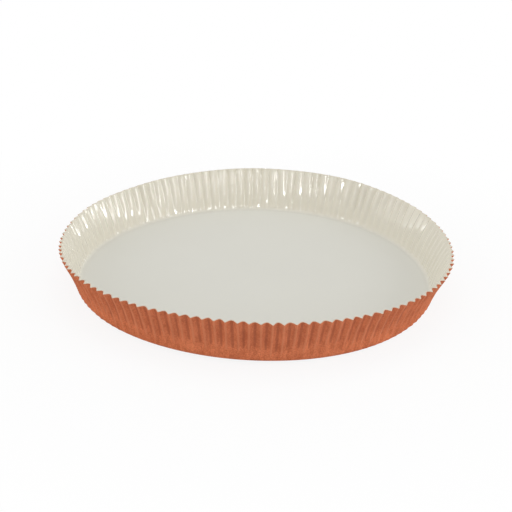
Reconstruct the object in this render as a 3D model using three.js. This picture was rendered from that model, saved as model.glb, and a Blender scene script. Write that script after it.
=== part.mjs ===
// Paper tart mould: one round sheet of paper pressed into a shallow fluted tray.
// Millimetres, +Z up. The origin is on the underside, at the middle of the floor.
import * as THREE from "three";

// The round tray
const floorDiameter = 216.4; // underside, out to where the corner starts
const edgeReach = 11.8; // floor's border to the edge, in plan, at half the depth of the flutes
const edgeHeight = 27; // mean height of the edge above the floor's underside
const cornerRadius = 3.5; // outside of the corner between floor and wall
const paperThickness = 0.6;

// The flutes pressed into the wall
const fluteCount = 120;
const fluteDepth = 2; // crest to groove, at the edge
const plainBand = 2; // smooth wall between the corner and the foot of the flutes
const swellLength = 6; // wall over which the flutes rise to their shoulder
const shoulderDepth = 1.4; // crest to groove, at the shoulder

// How the whole sheet has bent: a strip of floor across its middle lies flat on the table, and
// both sides of the strip curl up a little.
const flatStripWidth = 70;
const bendDirection = 70; // degrees from +X, the way in which the sheet curls up
const bendLift = 1.7; // how far the floor's border stands up at both ends of that way

// How far the edge has sprung besides
const edgeSaddle = 1; // front and back stand up by this much, both sides drop by it
const edgeTilt = 0.8; // the +X side stands up by this much, the -X side drops by it

// How finely the round shapes are divided
const fluteSteps = 4;
const cornerSteps = 3;
const floorSteps = 3;

const fullTurn = 2 * Math.PI;
const rightAngle = Math.PI / 2;

// The sheet's two faces
const underside = "underside";
const inside = "inside";

const bendAngle = THREE.MathUtils.degToRad(bendDirection);

// The corner is an arc about this centre, seen in a half section (radius, height).
const cornerCentre = new THREE.Vector2(floorDiameter / 2, cornerRadius);

// The wall leaves the corner along a tangent that ends at the edge. flare is its angle from
// upright, and wallLength is how much sheet there is from the corner to the edge.
const edgeFromCorner = new THREE.Vector2(edgeReach, edgeHeight - cornerRadius);
const flare = Math.acos(cornerRadius / edgeFromCorner.length()) - edgeFromCorner.angle();
const wallLength = Math.sqrt(edgeFromCorner.lengthSq() - cornerRadius ** 2);

// One flute runs from crest (phase 0) through groove (phase 0.5) to the next crest. The crest
// is a sharp fold that points outwards, and the groove is rounded. The result is +0.5 to -0.5.
function fluteWave(phase) {
  return 0.5 - Math.abs(Math.sin(Math.PI * phase));
}

// The edge has sprung, from nothing at the floor to its full amount at the edge.
function springHeight(angle) {
  return edgeTilt * Math.cos(angle) - edgeSaddle * Math.cos(2 * angle);
}

// How far the bend lifts the sheet at a place seen from above.
function bendHeight(x, y) {
  const across = Math.abs(x * Math.cos(bendAngle) + y * Math.sin(bendAngle));
  const curled = Math.max(across - flatStripWidth / 2, 0);
  return bendLift * (curled / (floorDiameter / 2 - flatStripWidth / 2)) ** 2;
}

// A ring of points round the tray. section(phase) gives the radius and height at that phase of
// a flute, and springShare says how much of the edge's spring this ring has.
function ring(stepsPerFlute, springShare, section) {
  const points = [];
  for (let step = 0; step < fluteCount * stepsPerFlute; step += 1) {
    const angle = (fullTurn * step) / (fluteCount * stepsPerFlute);
    const at = section((step % stepsPerFlute) / stepsPerFlute);
    const x = at.x * Math.cos(angle);
    const y = at.x * Math.sin(angle);
    const height = at.y + springShare * springHeight(angle) + bendHeight(x, y);
    points.push(new THREE.Vector3(x, y, height));
  }
  return points;
}

// A plain ring on the floor, a share of the way from the flat strip's width to the border.
function floorRing(share, face) {
  const radius = THREE.MathUtils.lerp(flatStripWidth / 2, floorDiameter / 2, share);
  const height = face === underside ? 0 : paperThickness;
  return ring(1, 0, () => new THREE.Vector2(radius, height));
}

// The corner's radius on one of the sheet's two faces.
function cornerRadiusOf(face) {
  return face === underside ? cornerRadius : cornerRadius - paperThickness;
}

// A plain ring on the corner, at an angle turned up from the floor.
function cornerRing(turned, face) {
  const out = new THREE.Vector2(Math.sin(turned), -Math.cos(turned));
  out.multiplyScalar(cornerRadiusOf(face)).add(cornerCentre);
  return ring(1, 0, () => out);
}

// A ring on the wall, at a length of sheet up from the corner. Each strip of the sheet has the
// same length, so a strip that leans further out ends a little lower.
function wallRing(length, depth, stepsPerFlute, face) {
  const foot = new THREE.Vector2(Math.cos(flare), -Math.sin(flare));
  foot.multiplyScalar(cornerRadiusOf(face)).add(cornerCentre);
  return ring(stepsPerFlute, length / wallLength, (phase) => {
    const reach = length * Math.sin(flare) + depth * fluteWave(phase);
    const rise = Math.sqrt(length ** 2 - reach ** 2);
    return new THREE.Vector2(foot.x + reach, foot.y + rise);
  });
}

// All rings of one face of the sheet, from the flat strip's width to the edge.
function faceRings(face) {
  const rings = [];
  for (let step = 0; step < floorSteps; step += 1) {
    rings.push(floorRing(step / floorSteps, face));
  }
  for (let step = 0; step < cornerSteps; step += 1) {
    rings.push(cornerRing(((rightAngle - flare) * step) / cornerSteps, face));
  }
  const shoulder = plainBand + swellLength;
  rings.push(wallRing(plainBand, 0, 1, face));
  rings.push(wallRing(shoulder, shoulderDepth, fluteSteps, face));
  rings.push(wallRing(wallLength, fluteDepth, fluteSteps, face));
  return rings;
}

// Joins two neighbouring rings flute by flute, whether or not they have as many points.
function zip(lower, upper, triangles) {
  const lowerSteps = lower.length / fluteCount;
  const upperSteps = upper.length / fluteCount;
  for (let flute = 0; flute < fluteCount; flute += 1) {
    const low = (step) => lower[(flute * lowerSteps + step) % lower.length];
    const high = (step) => upper[(flute * upperSteps + step) % upper.length];
    let a = 0;
    let b = 0;
    while (a < lowerSteps || b < upperSteps) {
      if ((a + 0.5) / lowerSteps <= (b + 0.5) / upperSteps) {
        triangles.push(low(a), low(a + 1), high(b));
        a += 1;
      } else {
        triangles.push(low(a), high(b + 1), high(b));
        b += 1;
      }
    }
  }
}

// The middle of the floor is a fan of triangles.
function fan(middle, around, turnedOver, triangles) {
  around.forEach((point, index) => {
    const next = around[(index + 1) % around.length];
    triangles.push(middle, turnedOver ? next : point, turnedOver ? point : next);
  });
}

// The closed sheet: up the outside from the middle of the underside, over the cut edge, and
// down the inside to the middle of the floor.
function pressedSheet() {
  const outer = faceRings(underside);
  const inner = faceRings(inside).reverse();
  const rings = [...outer, ...inner];
  const triangles = [];
  fan(new THREE.Vector3(0, 0, 0), outer[0], true, triangles);
  for (let index = 1; index < rings.length; index += 1) {
    zip(rings[index - 1], rings[index], triangles);
  }
  fan(new THREE.Vector3(0, 0, paperThickness), inner[inner.length - 1], false, triangles);
  const geometry = new THREE.BufferGeometry().setFromPoints(triangles);
  geometry.computeVertexNormals();
  return geometry;
}

const terracottaPaper = new THREE.MeshStandardMaterial({
  color: 0xba6646,
  roughness: 0.85,
  metalness: 0,
});

const mould = new THREE.Mesh(pressedSheet(), terracottaPaper);
mould.name = "tart_mould";

const tartMould = new THREE.Group();
tartMould.add(mould);

export default tartMould;
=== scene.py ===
import math

import bpy
import numpy as np
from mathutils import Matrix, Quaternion, Vector


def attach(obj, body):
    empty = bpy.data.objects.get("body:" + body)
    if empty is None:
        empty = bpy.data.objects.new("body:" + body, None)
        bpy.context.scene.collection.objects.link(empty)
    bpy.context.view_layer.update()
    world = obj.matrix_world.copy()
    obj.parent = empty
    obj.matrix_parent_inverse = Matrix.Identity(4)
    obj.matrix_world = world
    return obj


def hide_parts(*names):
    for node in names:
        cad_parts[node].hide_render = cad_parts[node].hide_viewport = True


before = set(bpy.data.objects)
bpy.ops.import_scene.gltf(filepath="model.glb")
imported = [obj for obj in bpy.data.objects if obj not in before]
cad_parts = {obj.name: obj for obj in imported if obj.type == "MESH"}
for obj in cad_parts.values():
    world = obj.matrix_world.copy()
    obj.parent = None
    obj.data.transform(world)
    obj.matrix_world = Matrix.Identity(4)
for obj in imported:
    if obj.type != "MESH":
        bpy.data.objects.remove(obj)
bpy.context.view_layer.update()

# The mould is one round sheet of kraft board, coated ivory on the inside. Hot dies press it
# into a flat floor, a tight round corner and a flared wall whose spare paper goes into flutes.
# The edge is cut square to the sheet, and the whole sheet has bent and sprung a little since.
floor_radius = 0.1082
corner_radius = 0.0035
edge_reach = 0.0118
edge_height = 0.027
board = 0.0006
flutes = 120
flute_depth = 0.0020
steps_per_flute = 12
floor_rings = (0.035, 0.050, 0.065, 0.079, 0.091, 0.100, 0.106)
corner_steps = 6
wall_steps = 15

flare = math.acos(corner_radius / math.hypot(edge_reach, edge_height - corner_radius))
flare -= math.atan2(edge_height - corner_radius, edge_reach)
wall_length = math.sqrt(edge_reach**2 + (edge_height - corner_radius) ** 2 - corner_radius**2)


def half_section(arc_radius):
    """One face of the sheet from floor to edge, with a corner of arc_radius: radius, height,
    angle turned up from the floor and length of sheet up the wall."""
    base = corner_radius - arc_radius
    stations = [(radius, base, 0.0, 0.0) for radius in (*floor_rings, floor_radius)]
    full_turn = math.pi / 2 - flare
    for step in range(1, corner_steps + 1):
        turned = full_turn * step / corner_steps
        radius = floor_radius + arc_radius * math.sin(turned)
        stations.append((radius, corner_radius - arc_radius * math.cos(turned), turned, 0.0))
    foot_radius, foot_height = stations[-1][:2]
    for step in range(1, wall_steps + 1):
        length = wall_length * step / wall_steps
        radius = foot_radius + length * math.sin(flare)
        stations.append((radius, foot_height + length * math.cos(flare), full_turn, length))
    return stations


outside = half_section(corner_radius)
inside = half_section(corner_radius - board)
section = outside + inside[::-1]

bpy.ops.object.select_all(action="DESELECT")
columns = flutes * steps_per_flute
bpy.ops.mesh.primitive_circle_add(vertices=columns, radius=section[0][0], fill_type="TRIFAN")
mould = bpy.context.object
mould.name = "pressed_mould"
bpy.ops.object.mode_set(mode="EDIT")
bpy.ops.mesh.select_mode(type="EDGE")
bpy.ops.mesh.select_all(action="DESELECT")
bpy.ops.mesh.select_non_manifold(extend=False)
for last, this in zip(section, section[1:]):
    bpy.ops.mesh.extrude_region_move(
        TRANSFORM_OT_translate={"value": (0.0, 0.0, this[1] - last[1])}
    )
    grow = this[0] / last[0]
    bpy.ops.transform.resize(value=(grow, grow, 1.0), center_override=(0.0, 0.0, 0.0))
bpy.ops.mesh.extrude_region_move()
bpy.ops.mesh.merge(type="CENTER")
bpy.ops.mesh.select_all(action="SELECT")
bpy.ops.mesh.normals_make_consistent(inside=False)
bpy.ops.object.mode_set(mode="OBJECT")

# Each point of the sheet knows its station in the half section and its place round the mould,
# apart from the two points at the middle of the floor, which belong to no station.
points = np.empty(len(mould.data.vertices) * 3)
mould.data.vertices.foreach_get("co", points)
points = points.reshape(-1, 3)
reach = np.hypot(points[:, 0], points[:, 1])
angle = np.arctan2(points[:, 1], points[:, 0]) % (2 * math.pi)
stations = np.array(section)
gap = (reach[:, None] - stations[:, 0]) ** 2 + (points[:, 2, None] - stations[:, 1]) ** 2
station = gap.argmin(axis=1)
middle = reach < floor_rings[0] / 2
is_inside = (station >= len(outside)) | (middle & (points[:, 2] > board / 2))
turned = np.where(middle, 0.0, stations[station, 2])
length = np.where(middle, 0.0, stations[station, 3])
share = length / wall_length

hand = np.random.RandomState(27)


def uneven(amount):
    """A value for each point that differs a little from flute to flute, smooth between them."""
    values = hand.normal(0.0, amount, flutes)
    closed = np.append(values, values[0])
    return np.interp(angle / (2 * math.pi) * flutes, np.arange(flutes + 1), closed)


def swell(lower, upper, value):
    """0 below lower, 1 above upper and smooth between them."""
    t = np.clip((value - lower) / (upper - lower), 0.0, 1.0)
    return t * t * (3 - 2 * t)


def softened(value, softness):
    """A value's distance from 0, rounded off around 0 and still 1 at 1."""
    return (np.hypot(value, softness) - softness) / (math.hypot(1, softness) - softness)


# The flutes start faintly in the corner, swell up to a shoulder and deepen on to the edge. No
# two are quite alike in depth, length and place, and each one leans and bows a little.
foot_depth = 0.0006
foot_start = 0.55
foot_end = 1.15
swell_start = 0.0012
swell_end = 0.0120
shoulder_depth = 0.5 * flute_depth
foot_spread = 0.25
swell_end_spread = 0.0012
swell_start_spread = 0.0005
depth_spread = 0.09
place_spread = 0.035
lean_spread = 0.05
bow_spread = 0.04
foot = foot_depth * (1 + uneven(foot_spread))
shoulder = swell_end + uneven(swell_end_spread)
depth = foot * swell(foot_start, foot_end, turned)
depth += (shoulder_depth - foot) * swell(swell_start + uneven(swell_start_spread), shoulder, length)
depth += (flute_depth - shoulder_depth) * share
depth *= 1 + uneven(depth_spread)
turn = angle / (2 * math.pi) * flutes + uneven(place_spread) + share * uneven(lean_spread)
turn += np.sin(math.pi * share) * uneven(bow_spread)

# Seen from outside, a flute has a folded crest and a rounded groove, with flanks that are
# partly flat. The wave runs from 0.5 on the crest to -0.5 in the groove.
crest_softness = 0.18
groove_softness = 0.25
flat_share = 0.3
round_groove = softened(np.sin(math.pi * turn), crest_softness)
pleat = 1 - softened(1 - 2 * (turn % 1.0), groove_softness)
wave = 0.5 - (1 - flat_share) * round_groove - flat_share * pleat

# The edge has sprung up at front and back, leans a little, and isn't quite level anywhere.
edge_saddle = 0.0010
edge_tilt = 0.0008
rise = edge_tilt * np.cos(angle) - edge_saddle * np.cos(2 * angle)
edge_ripples = ((0.00012, 7, 1.0), (0.0001, 11, 2.5))
for height, waves, phase in edge_ripples:
    rise += height * np.sin(waves * angle + phase)

# The wall is slightly hollow, and both sides of the edge stand out further.
edge_widening = 0.0012
edge_shift = 0.0004
wall_hollow = 0.0005
curl = share**2 * (edge_widening * np.cos(angle) ** 2 + edge_shift * np.cos(angle))
curl -= wall_hollow * np.sin(math.pi * share)

# A strip that is pressed out keeps its length of paper, so it ends lower.
press_out = depth * wave * np.sin(turned) + curl
press_down = depth * wave * np.cos(turned)
lean = length * math.sin(flare) + press_out
height_lost = length * math.cos(flare) - np.sqrt(np.maximum(length**2 - lean**2, 0.0))
widen = (reach + press_out) / np.maximum(reach, 1e-9)
points[:, :2] *= np.where(middle, 1.0, widen)[:, None]
points[:, 2] += np.where(length > 0, share * rise - height_lost, -press_down)

# A strip of floor across the middle lies flat on the table, and both sides of it curl up.
flat_strip_width = 0.070
bend_direction = math.radians(70)
bend_lift = 0.0017
across = np.abs(points[:, 0] * math.cos(bend_direction) + points[:, 1] * math.sin(bend_direction))
curled = np.maximum(across - flat_strip_width / 2, 0.0) / (floor_radius - flat_strip_width / 2)
points[:, 2] += bend_lift * curled**2
mould.data.vertices.foreach_set("co", points.ravel())

# The finishes read how far a point lies past the floor's border, and where it is deep enough
# to carry the painted highlight on a crest or the painted shade in a groove.
crest_groove_paint_from = 0.3
crest_groove_paint_full = 0.65
past_floor = np.where(middle, 0.0, reach) - floor_radius + length
fold = wave * swell(crest_groove_paint_from, crest_groove_paint_full, depth / flute_depth)
for name, values in (("fold", fold), ("past_floor", past_floor)):
    layer = mould.data.attributes.new(name, "FLOAT", "POINT")
    layer.data.foreach_set("value", values.astype(np.float32))


class Number:
    """A socket that takes part in Python sums. Each operator adds its Math node."""

    def __init__(self, tree, socket):
        self.tree = tree
        self.socket = socket

    def _with(self, operation, first, second):
        node = self.tree.nodes.new("ShaderNodeMath")
        node.operation = operation
        for socket, value in zip(node.inputs, (first, second)):
            feed(self.tree, socket, value)
        return Number(self.tree, node.outputs[0])

    def __add__(self, other):
        return self._with("ADD", self, other)

    def __radd__(self, other):
        return self._with("ADD", other, self)

    def __sub__(self, other):
        return self._with("SUBTRACT", self, other)

    def __rsub__(self, other):
        return self._with("SUBTRACT", other, self)

    def __mul__(self, other):
        return self._with("MULTIPLY", self, other)

    def __rmul__(self, other):
        return self._with("MULTIPLY", other, self)


def feed(tree, socket, value):
    """Links a Number or a socket to an input, or sets the input's own value."""
    if isinstance(value, Number):
        tree.links.new(value.socket, socket)
    elif isinstance(value, bpy.types.NodeSocket):
        tree.links.new(value, socket)
    else:
        socket.default_value = value


def add_node(tree, kind, settings=None, **sockets):
    """Adds a node with its settings made first, and then the values or links of its sockets."""
    node = tree.nodes.new(kind)
    for name, value in (settings or {}).items():
        setattr(node, name, value)
    for name, value in sockets.items():
        feed(tree, node.inputs[name.replace("_", " ")], value)
    return node


class Finish:
    """A material of one Principled shader."""

    def __init__(self, name):
        self.material = bpy.data.materials.new(name)
        self.material.use_nodes = True
        self.tree = self.material.node_tree
        self.shader = self.tree.nodes["Principled BSDF"]

    def add(self, kind, settings=None, **sockets):
        return add_node(self.tree, kind, settings, **sockets)

    def attribute(self, name):
        node = self.add("ShaderNodeAttribute", {"attribute_name": name})
        return Number(self.tree, node.outputs["Fac"])

    def noise(self, scale, detail, roughness=0.5, stretch=(1.0, 1.0, 1.0)):
        place = self.add("ShaderNodeTexCoord").outputs["Object"]
        place = self.add("ShaderNodeMapping", Vector=place, Scale=stretch).outputs["Vector"]
        node = self.add(
            "ShaderNodeTexNoise", Vector=place, Scale=scale, Detail=detail, Roughness=roughness
        )
        return Number(self.tree, node.outputs["Fac"])

    def between(self, factor, low, high, bottom=0.0, top=1.0):
        """Runs smoothly from bottom to top while the factor runs from low to high."""
        settings = {"interpolation_type": "SMOOTHSTEP"}
        sockets = {"From_Min": low, "From_Max": high, "To_Min": bottom, "To_Max": top}
        node = self.add("ShaderNodeMapRange", settings, Value=factor, **sockets)
        return Number(self.tree, node.outputs["Result"])

    def mix(self, factor, first, second):
        node = self.add("ShaderNodeMix", {"data_type": "RGBA", "clamp_factor": True})
        for index, value in ((0, factor), (6, first), (7, second)):
            feed(self.tree, node.inputs[index], value)
        return node.outputs[2]

    def set(self, **sockets):
        """Sets or links inputs of the Principled shader."""
        for name, value in sockets.items():
            feed(self.tree, self.shader.inputs[name.replace("_", " ")], value)


def colour(red, green, blue):
    """A shader colour from the three numbers, 0 to 255, of a colour on screen."""
    channels = [value / 255 for value in (red, green, blue)]
    linear = [c / 12.92 if c <= 0.04045 else ((c + 0.055) / 1.055) ** 2.4 for c in channels]
    return (*linear, 1.0)


def kraft_outside():
    """Fibrous board, with a painted highlight on the crests and painted shade in the grooves. The
    upper wall is darker with painted shade, and the underside carries a painted contact shadow."""
    finish = Finish("terracotta_kraft")
    fold = finish.attribute("fold")
    past_floor = finish.attribute("past_floor")
    dark_fibre = colour(193, 105, 65)
    light_fibre = colour(233, 139, 93)
    crest_highlight_colour = colour(226, 143, 101)
    groove_shade_colour = colour(150, 76, 46)
    shade = colour(164, 84, 54)
    fibres = finish.noise(scale=1300.0, detail=4.0, roughness=0.7)
    clouds = finish.noise(scale=110.0, detail=3.0)
    creases = finish.noise(scale=520.0, detail=2.0, stretch=(1.0, 1.0, 0.16))
    tone = fibres * 0.55 + clouds * 0.25 + creases * 0.2
    body = finish.mix(finish.between(tone, low=0.38, high=0.62), dark_fibre, light_fibre)
    # Painted highlight on the crests and painted shade in the grooves, where the flutes are deep.
    crest_highlight = finish.between(fold, low=0.15, high=0.42, top=0.6)
    groove_shade = finish.between(fold, low=-0.32, high=-0.49, top=0.5)
    # Painted shade: darker up the wall, and a painted contact shadow along the underside at the
    # corner.
    upper = finish.between(past_floor, low=0.006, high=0.020, top=0.3)
    corner = finish.between(past_floor, low=0.0010, high=0.0024, bottom=0.45, top=0.0)
    crest_lit = finish.mix(crest_highlight, body, crest_highlight_colour)
    groove_shaded = finish.mix(groove_shade, crest_lit, groove_shade_colour)
    shaded = finish.mix(upper + corner, groove_shaded, shade)
    height = tone + creases * 0.8
    relief = finish.add("ShaderNodeBump", Height=height, Strength=0.35, Distance=0.0004)
    finish.set(Base_Color=shaded, Roughness=0.8, Normal=relief.outputs["Normal"])
    finish.set(Specular_IOR_Level=0.3)
    return finish.material


def ivory_inside():
    """The dies burnish the coating on the wall, but for its last millimetre, and leave the
    floor dull."""
    finish = Finish("ivory_coating")
    past_floor = finish.attribute("past_floor")
    foot_shade = 0.2
    clouds = finish.noise(scale=25.0, detail=3.0)
    wall = finish.between(past_floor, low=0.0, high=0.003)
    floor_tone = finish.mix(clouds, colour(215, 214, 206), colour(218, 217, 209))
    wall_tone = finish.mix(clouds, colour(228, 223, 208), colour(232, 227, 213))
    body = finish.mix(wall, floor_tone, wall_tone)
    # Painted shade in the corner where the floor meets the wall.
    foot = finish.between(past_floor, low=-0.0025, high=0.0012, top=foot_shade)
    foot = foot - finish.between(past_floor, low=0.0012, high=0.0035, top=foot_shade)
    body = finish.mix(foot, body, colour(200, 196, 182))
    ripple = finish.noise(scale=300.0, detail=2.0)
    relief = finish.add("ShaderNodeBump", Height=ripple * wall, Strength=0.2, Distance=0.0003)
    roughness = finish.between(past_floor, low=0.0, high=0.003, bottom=0.6, top=0.14) + clouds * 0.04
    below_edge = finish.between(past_floor, low=0.0350, high=0.0364, bottom=1.0, top=0.15)
    finish.set(Base_Color=body, Roughness=roughness, Normal=relief.outputs["Normal"])
    finish.set(Coat_Weight=wall * below_edge, Coat_Roughness=0.05, Specular_IOR_Level=0.0)
    return finish.material


def cut_edge():
    """The bare, paler middle of the board."""
    finish = Finish("cut_edge")
    fibres = finish.noise(scale=1500.0, detail=3.0)
    body = finish.mix(fibres, colour(196, 178, 156), colour(218, 204, 186))
    finish.set(Base_Color=body, Roughness=0.8)
    return finish.material


for material in (kraft_outside(), ivory_inside(), cut_edge()):
    mould.data.materials.append(material)
inside_slot = 1
edge_slot = 2
# The cut edge runs from the last station of the outside to the first one of the inside.
edge_stations = {len(outside) - 1, len(outside)}
for face in mould.data.polygons:
    if {int(station[corner]) for corner in face.vertices} == edge_stations:
        face.material_index = edge_slot
    elif all(is_inside[corner] for corner in face.vertices):
        face.material_index = inside_slot
bpy.ops.object.select_all(action="DESELECT")
mould.select_set(True)
bpy.context.view_layer.objects.active = mould
smooth_below = math.radians(50)
bpy.ops.object.shade_smooth_by_angle(angle=smooth_below)

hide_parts("tart_mould")
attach(mould, "root")

# The studio: a plain white floor that runs back out of sight under an even white world, a soft
# lamp overhead and one at each side that stay out of the reflections. The bright lines on the
# coating come from three narrow strips in front, which light nothing else.
bpy.ops.object.select_all(action="DESELECT")
bpy.ops.mesh.primitive_plane_add(size=12.0, location=(0.0, 0.0, 0.0))
ground = bpy.context.object
ground.name = "studio_floor"
matt_white = Finish("studio_floor")
matt_white.set(Base_Color=(0.9, 0.9, 0.9, 1.0), Roughness=0.9, Specular_IOR_Level=0.0)
place = matt_white.add("ShaderNodeTexCoord").outputs["Object"]
away = matt_white.add("ShaderNodeVectorMath", {"operation": "LENGTH"}, Vector=place)
white_share = matt_white.between(away.outputs["Value"], low=0.13, high=0.3, bottom=0.88)
seen = Number(matt_white.tree, matt_white.add("ShaderNodeLightPath").outputs["Is Camera Ray"])
glow = matt_white.add("ShaderNodeEmission", Color=(1.0, 1.0, 1.0, 1.0), Strength=1.0)
blend = matt_white.add("ShaderNodeMixShader", Fac=seen * white_share)
surface = matt_white.tree.nodes["Material Output"].inputs["Surface"]
feed(matt_white.tree, blend.inputs[1], matt_white.shader.outputs[0])
feed(matt_white.tree, blend.inputs[2], glow.outputs[0])
feed(matt_white.tree, surface, blend.outputs[0])
ground.data.materials.append(matt_white.material)

lamp_distance = 1.4


def soft_lamp(name, azimuth, elevation, size, watts):
    """A rectangular lamp that looks at the mould. Its azimuth runs from +X, in degrees."""
    data = bpy.data.lights.new(name, "AREA")
    data.shape = "RECTANGLE"
    data.size, data.size_y = size
    data.energy = watts
    lamp = bpy.data.objects.new(name, data)
    level = lamp_distance * math.cos(math.radians(elevation))
    turn = math.radians(azimuth)
    height = lamp_distance * math.sin(math.radians(elevation))
    lamp.location = (level * math.cos(turn), level * math.sin(turn), height)
    lamp.rotation_euler = (-lamp.location).to_track_quat("-Z", "Y").to_euler()
    bpy.context.scene.collection.objects.link(lamp)
    return lamp


soft_lamp("overhead_lamp", azimuth=90.0, elevation=80.0, size=(1.2, 1.2), watts=5.0)
fills = (
    soft_lamp("right_lamp", azimuth=-20.0, elevation=25.0, size=(0.8, 0.8), watts=4.5),
    soft_lamp("left_lamp", azimuth=-160.0, elevation=25.0, size=(0.8, 0.8), watts=3.3),
)
for fill in fills:
    fill.visible_glossy = False
strips = (
    soft_lamp("right_strip", azimuth=-55.0, elevation=22.0, size=(0.20, 0.7), watts=11.0),
    soft_lamp("far_right_strip", azimuth=-20.0, elevation=24.0, size=(0.14, 0.6), watts=5.0),
    soft_lamp("left_strip", azimuth=-130.0, elevation=22.0, size=(0.12, 0.5), watts=3.3),
)
for strip in strips:
    strip.visible_diffuse = False

world_level = 0.62
world = bpy.data.worlds.new("studio")
world.use_nodes = True
sky = world.node_tree
light = sky.nodes["Background"]
light.inputs["Color"].default_value = (1.0, 1.0, 1.0, 1.0)
light.inputs["Strength"].default_value = world_level
backdrop = add_node(sky, "ShaderNodeBackground", Color=(1.0, 1.0, 1.0, 1.0), Strength=1.0)
rays = add_node(sky, "ShaderNodeLightPath").outputs
shown = Number(sky, rays["Is Camera Ray"]) + Number(sky, rays["Is Glossy Ray"])
shown = shown + Number(sky, rays["Is Transmission Ray"])
both = add_node(sky, "ShaderNodeMixShader", Fac=shown)
feed(sky, both.inputs[1], light.outputs[0])
feed(sky, both.inputs[2], backdrop.outputs[0])
feed(sky, sky.nodes["World Output"].inputs["Surface"], both.outputs[0])
bpy.context.scene.world = world
bpy.context.scene.view_settings.view_transform = "Standard"

# The camera looks down into the mould from the front, a step away, with a long lens. It is
# held a little off level, as in the photograph, whose frame is 512 pixels square.
frame_pixels = 512
focal_pixels = 1098.2
sensor_width = 36.0
camera_distance = 0.690
camera_elevation = math.radians(24.27)
camera_azimuth = math.radians(1.07)
camera_roll = math.radians(1.88)
camera_aim = Vector((0.00027, 0.0, 0.01446))
sight = Vector((
    math.sin(camera_azimuth) * math.cos(camera_elevation),
    -math.cos(camera_azimuth) * math.cos(camera_elevation),
    math.sin(camera_elevation),
))
camera_data = bpy.data.cameras.new("camera")
camera_data.sensor_width = sensor_width
camera_data.lens = sensor_width * focal_pixels / frame_pixels
camera = bpy.data.objects.new("camera", camera_data)
camera.location = camera_aim + camera_distance * sight
camera.rotation_mode = "QUATERNION"
camera.rotation_quaternion = (-sight).to_track_quat("-Z", "Y") @ Quaternion((0, 0, 1), camera_roll)
bpy.context.scene.collection.objects.link(camera)
bpy.context.scene.camera = camera
